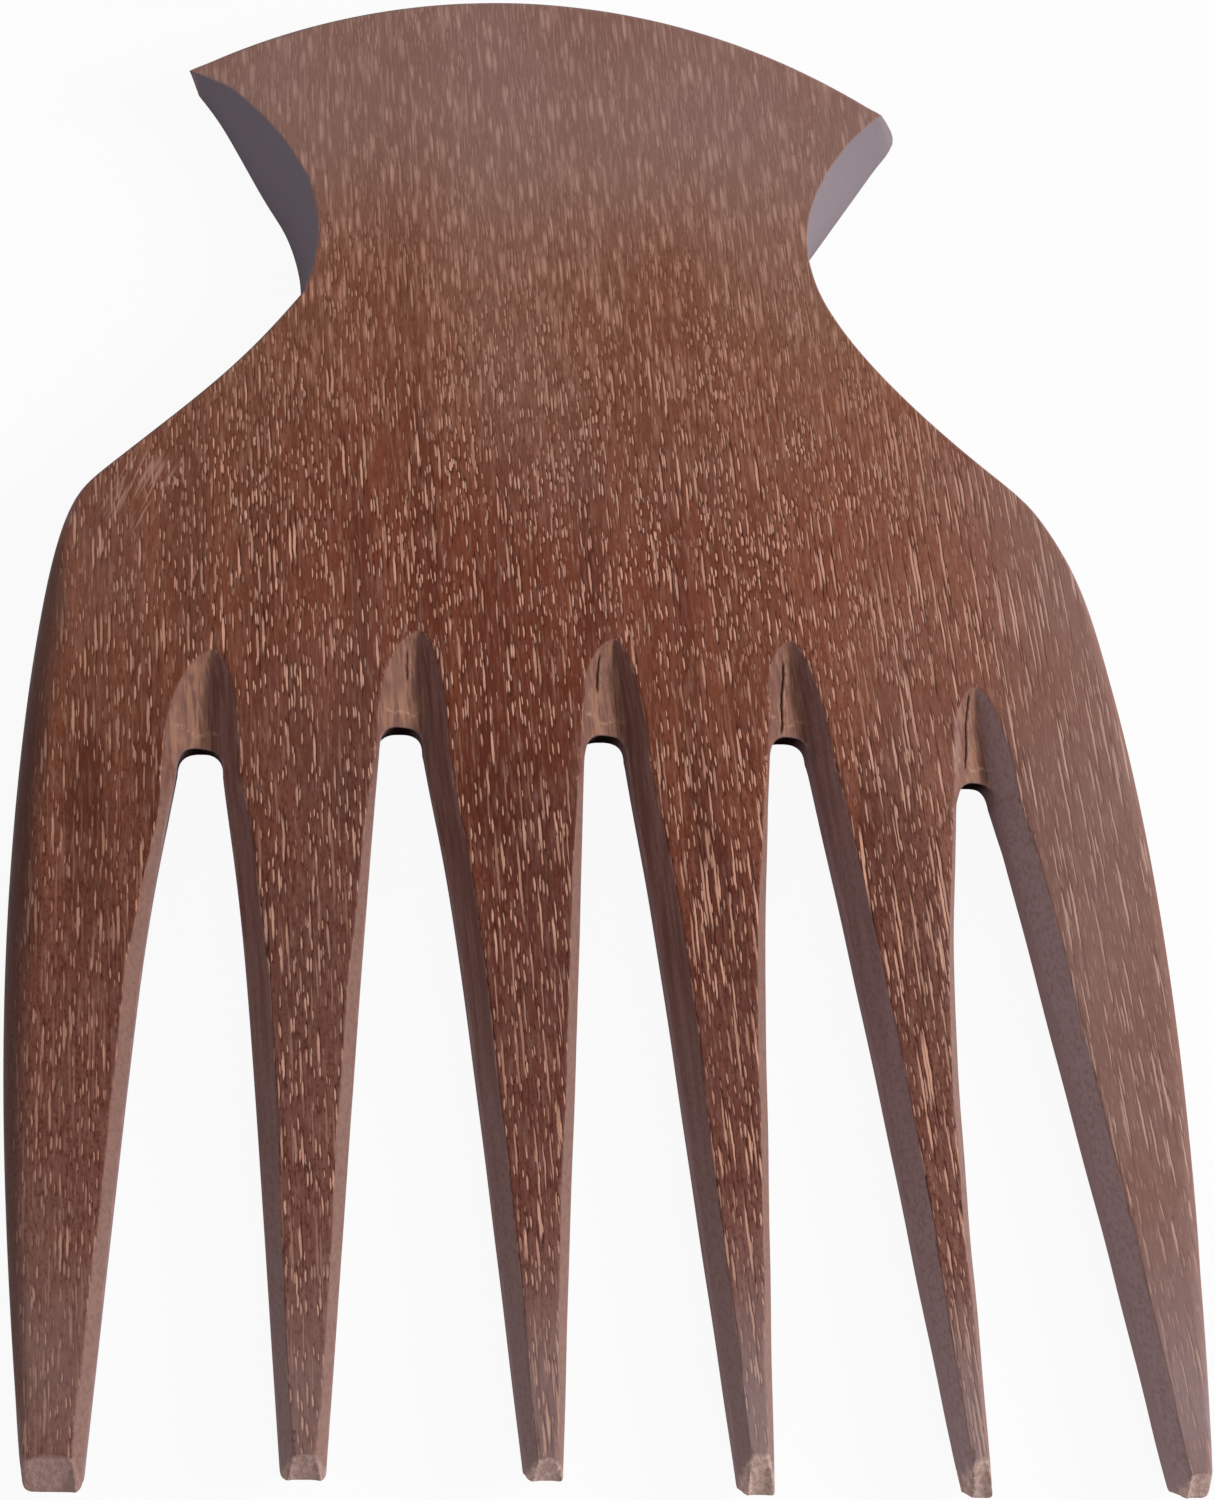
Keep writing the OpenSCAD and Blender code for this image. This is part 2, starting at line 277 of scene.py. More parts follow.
def tip_edge(i, side):
    return point(TIP_X_SHARES[i] * WIDTH + side * TIP_W_SHARES[i] * TIP_W / 2, TIP_Y)


def slot_root(i, side):
    return slot_end(i) + point(side * SLOT_W / 2, 0)


def slot_corner(i, side):
    return tip_edge(i, 1) if side < 0 else tip_edge(i + 1, -1)


def slot_side(i, side):
    start = slot_root(i, side)
    corner = slot_corner(i, side)
    end = corner + (corner - start) * 2 / np.hypot(*(corner - start))
    bow = SLOT_BOW_SHARES[i][(side + 1) // 2] * SLOT_W
    return curve([start, mix(start, end, SLOT_BOW_PLACE_SHARE) + point(bow, 0) * side, end], 30)


def cut_at(line, level):
    """The part of a falling line that is above a level, ending exactly on it."""
    kept = [p for p in line if p[1] > level]
    a, b = kept[-1], line[len(kept)]
    return np.array(kept + [mix(a, b, (a[1] - level) / (a[1] - b[1]))])


SLOT_COUNT = len(SLOT_X_SHARES)
TINE_COUNT = SLOT_COUNT + 1
slot_ends = [slot_end(i) for i in range(SLOT_COUNT)]
slot_lines = {(i, side): slot_side(i, side) for i in range(SLOT_COUNT) for side in (-1, 1)}


def beyond(line):
    """Adds one point a millimetre past the end of a line."""
    step = line[-1] - line[-2]
    return np.vstack([line, line[-1] + step / np.hypot(*step)])


def eased(line, passes=60):
    """Takes the small kinks out of a line. Both ends are kept."""
    for _ in range(passes):
        line[1:-1] = (line[:-2] + 2 * line[1:-1] + line[2:]) / 4
    return line


def outer_edge(foot, shoulder, neck_shares, side, side_shares):
    neck = [foot] + between(foot, shoulder, neck_shares) + [shoulder]
    return beyond(eased(curve(neck + side_points(side, side_shares))))


left_edge = outer_edge(left_foot, left_shoulder, LEFT_NECK_SHARES, -1, LEFT_SIDE_SHARES)
right_edge = outer_edge(right_foot, right_shoulder, RIGHT_NECK_SHARES, 1, RIGHT_SIDE_SHARES)


def seam_height(x):
    """The line through the slots' round ends, which parts the palm from the tines."""
    xs = [p[0] for p in slot_ends]
    ys = [p[1] for p in slot_ends]
    return np.interp(x, xs, ys)


def split_at_seam(line):
    """Splits a line where it crosses the seam between palm and tines."""
    height = line[:, 1] - seam_height(line[:, 0])
    k = int(np.nonzero(height[:-1] * height[1:] <= 0)[0][0])
    crossing = mix(line[k], line[k + 1], height[k] / (height[k] - height[k + 1]))
    return np.vstack([line[:k + 1], crossing]), np.vstack([crossing, line[k + 1:]])


def squared(values):
    """Turns a circle's arc into a flatter one with tighter corners."""
    return np.sign(values) * np.abs(values) ** (2 / SLOT_END_SQUARE)


def hollow_line(corner, foot, shares):
    return curve([corner] + between(corner, foot, shares) + [foot])


# The outline runs clockwise, seen from the front, as sections with a front and a back line
sections = []


def add_section(kind, front_line, back_line=None):
    front_points = resample(front_line)
    if back_line is None:
        back_points = front_points
    else:
        count = max(len(front_points), len(resample(back_line))) - 1
        front_points, back_points = resample(front_line, count), resample(back_line, count)
    sections.append((kind, front_points[:-1], back_points[:-1]))


def tine_end(i, right_line, left_line):
    """Cuts two lines at a tine's end and joins them by its blunt tip with soft corners."""
    level = tip_y(i)
    right_cut, left_cut = cut_at(right_line, level), cut_at(left_line, level)
    radius = TIP_CORNER_R[i]
    right_corner = softened(right_cut[-2], right_cut[-1], left_cut[-1], radius)
    left_corner = softened(right_cut[-1], left_cut[-1], left_cut[-2], radius)
    keep_right = right_cut[right_cut[:, 1] > right_corner[0][1] + 0.01]
    keep_left = left_cut[left_cut[:, 1] > left_corner[-1][1] + 0.01]
    return keep_right, np.vstack([right_corner, left_corner]), keep_left


face_right_x = crown_right_x - RIGHT_FACE_CORNER_IN
front_arc = crown_arc(crown_left_x, face_right_x)
back_arc = crown_arc(crown_left_x + LEFT_BACK_CORNER_IN, crown_right_x + RIGHT_BACK_CORNER_OUT)
add_section("crown", front_arc, back_arc)

right_front = hollow_line(front_arc[-1], right_foot, RIGHT_HOLLOW_SHARES)
right_back = hollow_line(back_arc[-1], right_foot, RIGHT_BACK_SHARES)
add_section("right_hollow", right_front, right_back)

right_upper, right_lower = split_at_seam(right_edge)
right_foot_section = len(sections)
add_section("right_neck", right_upper)

# The tines from the right to the left, each with the end of the slot beside it
left_upper, left_lower = split_at_seam(left_edge)
right_line = right_lower
tine_tops = {}
for tine in range(TINE_COUNT - 1, -1, -1):
    left_line = slot_lines[tine - 1, 1] if tine else left_lower
    down, tip, up = tine_end(tine, right_line, left_line)
    edge_kind = "right_side" if tine == TINE_COUNT - 1 else "slot"
    right_end = len(sections)
    add_section(edge_kind, np.vstack([down, tip[:1]]))
    add_section("tip", tip)
    up = np.vstack([tip[-1:], up[::-1]])
    if tine:
        slot = tine - 1
        turns = np.linspace(0, math.pi, 60)
        arc = slot_ends[slot] + SLOT_W / 2 * np.c_[squared(np.cos(turns)), squared(np.sin(turns))]
        around = np.vstack([up[:-1], arc, slot_lines[slot, -1][1:]])
        top = int(np.argmax(around[:, 1]))
        below, above = split_at_seam(around[:top + 1])
        add_section("slot", below)
        tine_tops[tine] = (right_end, len(sections))
        after, right_line = split_at_seam(around[top:])
        add_section("slot_end", np.vstack([above[:-1], after]))
    else:
        add_section("left_side", up)
        tine_tops[tine] = (right_end, len(sections))

add_section("left_neck", left_upper[::-1])
left_foot_section = len(sections)
left_front = hollow_line(front_arc[0], left_foot, LEFT_HOLLOW_SHARES)
left_back = hollow_line(back_arc[0], left_foot, LEFT_BACK_SHARES)
add_section("left_hollow", left_front[::-1], left_back[::-1])

section_starts = np.cumsum([0] + [len(s[1]) for s in sections])
outline_front = np.vstack([s[1] for s in sections])
outline_back = np.vstack([s[2] for s in sections])
outline_kind = [s[0] for s in sections for _ in s[1]]
OUTLINE_COUNT = len(outline_front)

# Where neighbouring regions meet: the right and left end of each seam, as places on the outline
seam_sections = [(right_foot_section, left_foot_section)] + [tine_tops[i] for i in range(TINE_COUNT)]
seams = [(int(section_starts[a]), int(section_starts[b])) for a, b in seam_sections]


# Rounded rims
def unit_rows(rows):
    return rows / np.maximum(np.linalg.norm(rows, axis=1), 1e-9)[:, None]


def inward(points):
    """Unit vectors from each point of the outline into the wood."""
    ahead = unit_rows(np.roll(points, -1, 0) - points)
    behind = unit_rows(points - np.roll(points, 1, 0))
    along = unit_rows(ahead + behind)
    return np.c_[along[:, 1], -along[:, 0]]


def room(points, normals):
    """Radius of the largest disc inside the outline that touches it at each point."""
    gap = points[None, :, :] - points[:, None, :]
    across = np.einsum("jkc,jc->jk", gap, normals)
    size = (gap ** 2).sum(2)
    radius = np.where(across > 1e-4, size / (2 * np.maximum(across, 1e-4)), 1e3)
    return radius.min(1)


def rim_radius():
    """Radius of the rim's rounding: large down the outer sides, and never more than fits."""
    y = outline_front[:, 1]
    kinds = np.array(outline_kind)
    radius = np.full(OUTLINE_COUNT, EDGE_R)
    radius[kinds == "crown"] = CROWN_EDGE_R
    for side, size in (("left", LEFT_ROUND), ("right", RIGHT_ROUND)):
        edge = (kinds == side + "_neck") | (kinds == side + "_side")
        share = smooth_share(y, 24, 6) * smooth_share(y, TIP_Y + 3, TIP_Y + 20)
        radius[edge] = mix(EDGE_R, size, share)[edge]
        radius[edge] += 0.5 * smooth_share(y, TIP_Y + 30, TIP_Y + 10)[edge]
    spare = np.minimum(room(outline_front, front_inward), room(outline_back, back_inward))
    radius = np.minimum(radius, 0.45 * spare)
    step = np.hypot(*(np.roll(outline_front, -1, 0) - outline_front).T)
    for order in (range(2 * OUTLINE_COUNT), range(2 * OUTLINE_COUNT, 0, -1)):
        forward = order.step > 0
        for number in order:
            here, last = number % OUTLINE_COUNT, (number - order.step) % OUTLINE_COUNT
            distance = step[last] if forward else step[here]
            radius[here] = min(radius[here], radius[last] + 0.25 * distance)
    return radius


front_inward, back_inward = inward(outline_front), inward(outline_back)
rim_r = rim_radius()


# Carving: how deep the knife has gone below the flat face
def smooth_min(a, b, blend):
    share = np.maximum(blend - np.abs(a - b), 0) / blend
    return np.minimum(a, b) - share * share * blend / 4


def smooth_max(a, b, blend):
    return -smooth_min(-a, -b, blend)


def waves(x, y, size, seed, stretch=1.0):
    """Smooth noise from -1 to 1, one value a point."""
    return np.array([noise.noise((a / size, b / size / stretch, seed)) for a, b in zip(x, y)])


def chamfer_width(i, side, y):
    """Width of the chamfer on one side of a slot at each height."""
    down = (slot_ends[i][1] - y) / (slot_ends[i][1] - TIP_Y)
    widths = [TOP_WIDTHS[side][i]] + LOWER_WIDTHS[side] + [TIP_WIDTHS[side][i]]
    return np.interp(down, CHAMFER_PLACES, widths)


def arris(i, side, y):
    """Where a chamfer meets the face at each height."""
    line = slot_lines[i, side]
    return np.interp(-y, -line[:, 1], line[:, 0]) + side * chamfer_width(i, side, y)


def notch_frame(i, y, length):
    """Share of the way up a notch, its middle line and the reach of its two sides."""
    end = slot_ends[i]
    up = (y - end[1]) / (SLOT_W / 2 + length)
    share = np.clip(up, 0, 1)
    foot, lean = NOTCH_FOOT_SHARES[i] * SLOT_W, NOTCH_LEAN_SHARES[i] * SLOT_W
    middle = end[0] + mix(foot, lean, share ** 1.3)
    arch = {-1: np.maximum(1 - share ** 2.2, 0) ** 0.62, 1: np.maximum(1 - share ** 2.6, 0) ** 0.5}
    reach = {side: (SLOT_W / 2 + TOP_WIDTHS[side][i] - side * foot) * arch[side] for side in (-1, 1)}
    return up, middle, reach


def valley_depth(up, length, depth):
    """Depth of a notch along its middle line, from the slot's rim up to the notch's point."""
    rim = SLOT_W / 2 / (SLOT_W / 2 + length)
    share = np.clip((up - rim) / (1 - rim), 0, 1)
    below = np.maximum(rim - up, 0) * (SLOT_W / 2 + length)
    return depth * (1 - share ** 2.0) ** 0.66 + 0.5 * below


def slot_carving(i, x, y, is_front):
    """Depth carved along one slot, and shares of the notch's left facet and right-facing chamfer."""
    length, depth, fade = FRONT_NOTCH if is_front else BACK_NOTCH
    wander = np.sin(y / 2.3 + i) / 2
    cuts = {}
    for side in (-1, 1):
        distance = (arris(i, side, y) - x) * side
        distance = distance + ARRIS_WANDER * (np.sin(y / 6.5 + 2.1 * i + side) + wander)
        cuts[side] = CHAMFER_D * distance / (LEFT_SLOPE_W if side < 0 else chamfer_width(i, side, y))
    chamfer = smooth_min(cuts[-1], cuts[1], 0.3)
    up, middle, reach = notch_frame(i, y, length)
    across = x - middle
    wanted = np.maximum(np.where(across < 0, reach[-1], reach[1]), 0.05)
    notch = valley_depth(up, length, depth) * (1 - np.abs(across) / wanted)
    notch = np.where(up > 1, -1.0, np.maximum(notch, -1.5))
    in_notch = np.clip((chamfer - notch) / 0.6, 0, 1) * smooth_share(notch, 0.02, 0.2)
    # Only the notch's left facet counts, the one that faces the light, so the lighter colour it gets
    # is painted light
    in_notch = in_notch * smooth_share(across, 0.25, -0.1) * smooth_share(up, -0.3, 0)
    limit = mix(notch, chamfer + 1, smooth_share(slot_ends[i][1] - y, -1.2, fade))
    righted = smooth_share(cuts[1] - cuts[-1], 0, 1) * smooth_share(slot_ends[i][1] - y, 0, 4)
    return smooth_min(chamfer, limit, 0.25), in_notch, righted


def crack_line(i, offset, y):
    """Where a crack runs at each height."""
    wander = 0.06 * np.sin(1.3 * y + 2 * i) + 0.025 * np.sin(5.3 * y)
    return slot_ends[i][0] + offset + wander


def crack_marks(x, y):
    """How open the cracks are at each point, and how pale the torn fibres beside them."""
    crack, burr = np.zeros(len(x)), np.zeros(len(x))
    for i, offset, top, bottom, strength in CRACKS:
        up = y - slot_ends[i][1]
        ends = smooth_share(up, bottom, bottom + 0.8) * smooth_share(up, top, top - 0.8)
        away = x - crack_line(i, offset, y)
        crack = np.maximum(crack, strength * ends * np.exp(-(away / CRACK_HALF_W) ** 2))
        burr = np.maximum(burr, 0.8 * strength * ends * np.exp(-((away - 0.3) / 0.15) ** 2))
    for i, end in enumerate(slot_ends):
        across = x - end[0]
        up = y - end[1] - SLOT_W / 2 - BURR_HEIGHT - 0.12 * across ** 2 + 0.2 * np.sin(2.6 * x + i)
        sides = smooth_share(across, -3.2, -2.2) * smooth_share(across, 2.4, 1.2)
        burr = np.maximum(burr, sides * np.exp(-(up / 0.17) ** 2))
    return crack, burr


def tip_carving(x, y):
    """Depth of the bevel on the end of the nearest tine."""
    depth = np.full(len(x), UNCUT)
    for i in range(TINE_COUNT):
        middle = TIP_X_SHARES[i] * WIDTH
        half = TIP_W_SHARES[i] * TIP_W / 2 + 0.4
        across = (x - middle) / half
        length = TIP_BEVEL_LEN * TIP_BEVEL_SHARES[i] * (1 - 0.22 * np.clip(across, -1.2, 1.2) ** 2)
        cut = TIP_BEVEL_D * (1 - (y - tip_y(i)) / length)
        for side in (-1, 1):
            if 0 <= i + min(side, 0) < SLOT_COUNT:
                edge = arris(i + min(side, 0), -side, np.minimum(y, 0))
                cut = cut - TIP_BEVEL_TURN * np.maximum((x - edge) * side, 0)
        depth = np.where(np.abs(x - middle) < half + 2, np.maximum(depth, cut), depth)
    return depth


def carving(x, y, is_front):
    """Total depth below the face, and shares that say what each point was cut by."""
    slots = np.full(len(x), UNCUT)
    in_notch, righted, crack, burr = np.zeros((4, len(x)))
    for i in range(SLOT_COUNT):
        across, up = np.abs(x - slot_ends[i][0]), y - slot_ends[i][1]
        near = (across < SLOT_REACH[0]) & (up < SLOT_REACH[1])
        cut, notch, right = slot_carving(i, x[near], y[near], is_front)
        righted[near] = np.where(cut > np.maximum(slots[near], -0.5), right, righted[near])
        slots[near] = np.maximum(slots[near], cut)
        in_notch[near] = np.maximum(in_notch[near], notch)
    tips = tip_carving(x, y)
    total = smooth_max(smooth_max(slots, tips, 0.2), np.zeros(len(x)), 0.06)
    face_wave = FACE_WAVE * (1 + waves(x, y, 22, 3.3)) + FACE_RIPPLE * (1 + waves(x, y, 5, 7.1, 3))
    rough = waves(x, y, 0.8, 1.7) * END_ROUGH * smooth_share(tips, 0.05, 0.5)
    rough = rough + waves(x, y, 0.7, 5.2, 4) * NOTCH_ROUGH * in_notch
    if is_front:
        crack, burr = crack_marks(x, y)
        crack, burr = crack * smooth_share(slots, 0.1, 0.4), burr * smooth_share(slots, 0.2, 0.6)
        rough = rough + CRACK_D * crack - BURR_RISE * burr
    shares = {
        "facet": smooth_share(slots, 0.03, 0.16),
        "notch": in_notch,
        "righted": righted,
        "tip": smooth_share(tips, 0.02, 0.25),
        "crack": crack,
        "burr": burr,
    }
    return total + face_wave + rough, shares


# Points inside the outline
def inside(points, ring):
    """True for the points inside a closed ring."""
    x, y = points[:, :1], points[:, 1:]
    a, b = ring, np.roll(ring, -1, 0)
    crossing = (a[:, 1] > y) != (b[:, 1] > y)
    rise = b[:, 1] - a[:, 1]
    at = a[:, 0] + (y - a[:, 1]) * (b[:, 0] - a[:, 0]) / np.where(rise == 0, 1, rise)
    return (crossing & (x < at)).sum(1) % 2 == 1


def far_enough(points, others, gap):
    """True for the points that keep a gap from every other point."""
    if not len(others) or not len(points):
        return np.ones(len(points), bool)
    kept = []
    for part in np.array_split(points, max(1, len(points) // 1500)):
        near = ((part[:, None, :] - others[None, :, :]) ** 2).sum(2).min(1)
        kept.append(near > gap * gap)
    return np.concatenate(kept)


def grid(low, high, step, seed, jitter=0.25):
    xs, ys = np.arange(low[0], high[0], step), np.arange(low[1], high[1], step)
    made = np.array(np.meshgrid(xs, ys)).reshape(2, -1).T
    return made + np.random.default_rng(seed).uniform(-jitter, jitter, made.shape) * step


def rows_beside(line, offsets):
    """Copies of a line at small distances on both sides of it."""
    along = unit_rows(np.gradient(line, axis=0))
    across = np.c_[along[:, 1], -along[:, 0]]
    return np.vstack([line + across * offset for offset in offsets])


def feature_points(is_front):
    """Rows of points beside every carved line, so that each crease stays sharp, with their gaps."""
    length = (FRONT_NOTCH if is_front else BACK_NOTCH)[0]
    sets = []

    def add_rows(xs, ys, offsets, gap=0.1):
        sets.append((rows_beside(np.c_[xs, ys], offsets), gap))

    if is_front:
        for i, offset, top, bottom, _ in CRACKS:
            height = slot_ends[i][1] + np.linspace(bottom, top, 50)
            add_rows(crack_line(i, offset, height), height, CRACK_OFFSETS, 0.06)
        for i in range(SLOT_COUNT):
            low = slot_ends[i] + point(-3.2, SLOT_W / 2 + BURR_HEIGHT - 0.5)
            sets.append((grid(low, low + point(5.6, 1.5), 0.2, 20 + i), 0.12))
    for i in range(SLOT_COUNT):
        shares = np.linspace(0.05, 1, 40)
        height = slot_ends[i][1] + shares * (SLOT_W / 2 + length)
        _, middle, reach = notch_frame(i, height, length)
        add_rows(middle, height, VALLEY_OFFSETS)
        for side in (-1, 1):
            add_rows(middle + side * reach[side], height, NOTCH_OFFSETS)
            level = np.linspace(slot_ends[i][1] + 1, TIP_Y, 100)
            add_rows(arris(i, side, level), level, ARRIS_OFFSETS, 0.12)
    for i in range(TINE_COUNT):
        half = TIP_W_SHARES[i] * TIP_W / 2 + 1
        across = np.linspace(-1, 1, 26)
        bevel = TIP_BEVEL_LEN * TIP_BEVEL_SHARES[i] * (1 - 0.22 * across ** 2)
        add_rows(TIP_X_SHARES[i] * WIDTH + across * half, tip_y(i) + bevel, BEVEL_OFFSETS, 0.12)
        low = point(TIP_X_SHARES[i] * WIDTH - half, tip_y(i))
        sets.append((grid(low, low + point(2 * half, 5), BEVEL_STEP, 40 + i), 0.2))
    for i in range(SLOT_COUNT):
        low = slot_ends[i] - point(5.5, 4)
        sets.append((grid(low, low + point(11.5, length + 8), NOTCH_STEP, 60 + i), 0.26))
    sets.append((grid((box_low[0], TIP_Y), (box_high[0], TOP_Y), FLAT_STEP, 80), 0.7))
    return sets


def inner_points(ring, seam_points, is_front):
    """All points inside the innermost rim row, with their gaps kept."""
    chosen = np.empty((0, 2))
    for points, gap in feature_points(is_front):
        points = points[inside(points, ring)]
        for others, least in ((ring, max(gap, 0.12)), (seam_points, max(gap, 0.2)), (chosen, gap)):
            points = points[far_enough(points, others, least)]
        chosen = np.vstack([chosen, points])
    return chosen


def seam_line(ring, pair):
    """Points along a seam between two places of the outline, without its ends."""
    start, end = ring[pair[0]], ring[pair[1]]
    count = max(2, math.ceil(np.hypot(*(end - start)) / SEAM_STEP))
    return start + np.linspace(0, 1, count + 1)[1:-1, None] * (end - start)


# The whole surface, before it is parted
vertices, faces = [], []
SHARE_NAMES = [
    "facet", "notch", "righted", "turned", "rim", "tip", "wall", "hollow", "root", "crack", "burr",
]
vertex_shares = {name: [] for name in SHARE_NAMES}


def add_vertices(xyz, shares):
    """Adds points and returns their numbers."""
    start = sum(len(block) for block in vertices)
    vertices.append(xyz)
    for name in SHARE_NAMES:
        vertex_shares[name].append(np.broadcast_to(shares.get(name, 0.0), (len(xyz),)))
    return np.arange(start, start + len(xyz))


def strip(upper, lower):
    """Quads between two closed rows."""
    faces.extend(np.c_[upper, np.roll(upper, -1), np.roll(lower, -1), lower].tolist())


in_hollow = np.array([kind.endswith("hollow") for kind in outline_kind], float)
in_end = np.array([kind == "slot_end" for kind in outline_kind])
# Painted shade on the slot ends' walls that face down the board, away from the light
root_shade = in_end * np.clip(front_inward[:, 1], 0, 1) ** 2
hard_edge = 1 - smooth_share(rim_r, 0.5, 1.6)
# The rounded left edges, which face away from the light and get painted shade
on_left = np.array([kind in ("left_neck", "left_side") for kind in outline_kind])
turned = on_left * smooth_share(rim_r, 0.6, 2.4)


def build_face(outline, inward_rows, is_front):
    """One face of the board with its rounded rim. Returns the rim's rows and the seams' points."""
    rows = []
    for share in RIM_SHARES:
        inset = rim_r * share
        xy = outline + inward_rows * inset[:, None]
        cut, shares = carving(xy[:, 0], xy[:, 1], is_front)
        cut = cut + rim_r - np.sqrt(np.maximum(rim_r ** 2 - (rim_r - inset) ** 2, 0))
        z = THICK - cut if is_front else cut
        edge = (1 - share) ** 2
        shares["facet"] = shares["facet"] * (1 - edge * hard_edge)
        shares["wall"] = edge * hard_edge
        shares["hollow"] = edge * in_hollow
        shares["root"] = edge * root_shade
        shares["turned"] = (1 - share) * turned
        shares["rim"] = edge * (1 - hard_edge)
        rows.append(add_vertices(np.c_[xy, z], shares))
    ring = outline + inward_rows * rim_r[:, None]
    lines = [seam_line(ring, pair) for pair in seams]
    chosen = inner_points(ring, np.vstack(lines), is_front)
    flat = np.vstack([ring] + lines + [chosen])
    count = len(ring)
    edges = [(k, (k + 1) % count) for k in range(count)]
    start = count
    chains = []
    for pair, line in zip(seams, lines):
        chain = [pair[0]] + list(range(start, start + len(line))) + [pair[1]]
        edges += list(zip(chain, chain[1:]))
        chains.append(chain)
        start += len(line)
    made = delaunay_2d_cdt([Vector(p) for p in flat], edges, [list(range(count))[::-1]], 1, 1e-5)
    out_xy, out_faces, sources = np.array([list(v) for v in made[0]]), made[2], made[3]
    cut, shares = carving(out_xy[:, 0], out_xy[:, 1], is_front)
    z = THICK - cut if is_front else cut
    fresh = [number for number, source in enumerate(sources) if not source or min(source) >= count]
    fresh_shares = {name: values[fresh] for name, values in shares.items()}
    numbers = np.empty(len(out_xy), int)
    numbers[fresh] = add_vertices(np.c_[out_xy[fresh], z[fresh]], fresh_shares)
    place = {}
    for number, source in enumerate(sources):
        for old in source:
            place[old] = number
        if source and min(source) < count:
            numbers[number] = rows[-1][min(source)]
    for face in out_faces:
        a, b, c = [out_xy[k] for k in face]
        turn = (b[0] - a[0]) * (c[1] - a[1]) - (b[1] - a[1]) * (c[0] - a[0])
        order = list(face) if (turn > 0) == is_front else list(face)[::-1]
        faces.append([int(numbers[k]) for k in order])
    for outer, inner in zip(rows, rows[1:]):
        upper, lower = (inner, outer) if is_front else (outer, inner)
        strip(upper, lower)
    return rows, [[int(numbers[place[k]]) for k in chain] for chain in chains]


def build_wall(upper, lower):
    """The side of the board between the two rims. The hollows' walls swell as they lean out."""
    last = upper
    from_corner = np.hypot(*(outline_front - front_arc[-1]).T)
    bulge = (CORNER_BULGE * np.exp(-(from_corner / CORNER_BULGE_REACH) ** 2))[:, None]
    so_far = np.vstack(vertices)
    top_z, low_z = so_far[upper, 2], so_far[lower, 2]
    shares = {"wall": 1.0, "hollow": in_hollow, "root": root_shade, "turned": turned}
    for share in WALL_SHARES:
        lateral = mix(share, 1 - (1 - share) ** 1.8, in_hollow)[:, None]
        xy = mix(outline_front, outline_back, lateral)
        xy = xy - front_inward * bulge * math.sin(math.pi * share)
        z = mix(top_z, low_z, share)
        ripple = WALL_RIPPLE * (1 + waves(xy[:, 0] + z, xy[:, 1], 3.5, 9.4, 2))
        xy = xy + front_inward * ripple[:, None]
        row = add_vertices(np.c_[xy, z], shares)
        strip(last, row)
        last = row
    strip(last, lower)


front_rows, front_chains = build_face(outline_front, front_inward, True)
back_rows, back_chains = build_face(outline_back, back_inward, False)
first_wall = sum(len(block) for block in vertices)
build_wall(front_rows[0], back_rows[0])
points = np.vstack(vertices)
levels = {name: np.concatenate(blocks) for name, blocks in vertex_shares.items()}


def wall_column(place):
    """The numbers of one place's points from the front rim down to the back rim."""
    walls = [first_wall + k * OUTLINE_COUNT + place for k in range(len(WALL_SHARES))]
    front = [int(row[place]) for row in front_rows[::-1]]
    back = [int(row[place]) for row in back_rows]
    return front + walls + back


def seam_cap(front_chain, back_chain, pair):
    """Faces that close a region where it meets its neighbour."""
    middle = zip(front_chain, front_chain[1:], back_chain[1:], back_chain)
    return [wall_column(pair[0])[::-1], wall_column(pair[1])] + [list(cap) for cap in middle]


def surface_normals():
    """Normals of the whole surface, so that its regions meet without a line."""
    halves = [[face[0], face[2], face[3]] for face in faces if len(face) == 4]
    triangles = np.array([face[:3] for face in faces] + halves)
    a, b, c = points[triangles[:, 0]], points[triangles[:, 1]], points[triangles[:, 2]]
    normal = np.cross(b - a, c - a)
    total = np.zeros_like(points)
    for corner in range(3):
        np.add.at(total, triangles[:, corner], normal)
    return unit_rows(total)


def parted():
    """Sorts the faces into regions by filling the surface up to the seams."""
    seam_edges = set()
    for pair, front_chain, back_chain in zip(seams, front_chains, back_chains):
        for chain in (front_chain, back_chain, wall_column(pair[0]), wall_column(pair[1])):
            seam_edges.update(tuple(sorted(edge)) for edge in zip(chain, chain[1:]))
    beside = {}
    for number, face in enumerate(faces):
        for a, b in zip(face, face[1:] + face[:1]):
            edge = (a, b) if a < b else (b, a)
            if edge not in seam_edges:
                beside.setdefault(edge, []).append(number)
    links = [[] for _ in faces]
    for pair in beside.values():
        if len(pair) == 2:
            links[pair[0]].append(pair[1])
            links[pair[1]].append(pair[0])
    region = [-1] * len(faces)
    regions = []
    for first in range(len(faces)):
        if region[first] >= 0:
            continue
        region[first] = len(regions)
        waiting = [first]
        members = []
        while waiting:
            here = waiting.pop()
            members.append(here)
            for other in links[here]:
                if region[other] < 0:
                    region[other] = len(regions)
                    waiting.append(other)
        regions.append(members)
    return regions


def ordered(regions):
    """Names the regions: crown and palm from the top, and then the tines from the left."""
    middle = [points[np.unique(np.concatenate([faces[k] for k in part]))].mean(0) for part in regions]
    by_height = sorted(range(len(regions)), key=lambda k: -middle[k][1])
    order = by_height[:2] + sorted(by_height[2:], key=lambda k: middle[k][0])
    return dict(zip(NODES, [regions[k] for k in order]))


def cap_faces(name):
    """The caps that belong to a region, turned to face out of it."""
    owned = []
    for number, pair in enumerate(seams):
        caps = seam_cap(front_chains[number], back_chains[number], pair)
        if name == NODES[1 + number]:
            owned += [cap[::-1] for cap in caps]
        if name == NODES[min(number, 1)]:
            owned += caps
    return owned


